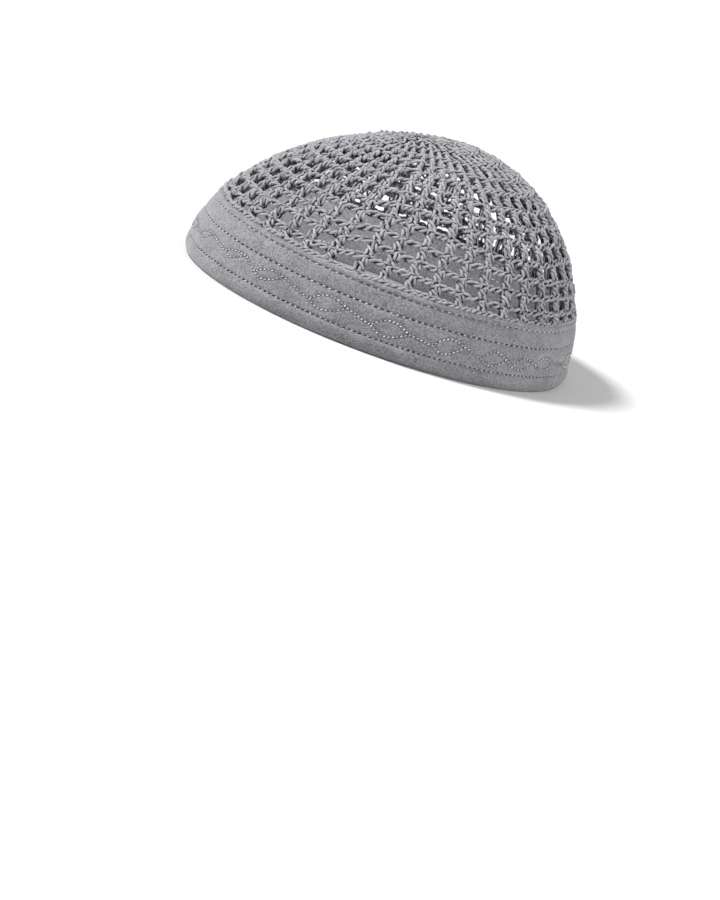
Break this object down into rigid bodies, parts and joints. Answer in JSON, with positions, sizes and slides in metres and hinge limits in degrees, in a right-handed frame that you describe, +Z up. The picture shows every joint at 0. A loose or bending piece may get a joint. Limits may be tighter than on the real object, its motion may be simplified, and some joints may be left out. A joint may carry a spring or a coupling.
{
  "type": "crocheted skull cap",
  "caption": "Low oval skull cap: an openwork crocheted crown sewn into a folded grey cloth band, open underneath for the head.",
  "frame": {"origin": "middle of the rim's oval, in the plane of the rim's underside", "axes": "+Z up through the crown, -Y to the front of the cap, +X to the wearer's left side"},
  "size_m": [0.158, 0.198, 0.094],
  "materials": {
    "band_cloth": "matte mottled grey knit cloth with a short nap",
    "crochet_yarn": "soft twisted grey yarn with a faint sheen"
  },
  "bodies": {
    "root": {"band": "band_cloth", "crown": "crochet_yarn"}
  },
  "joints": []
}
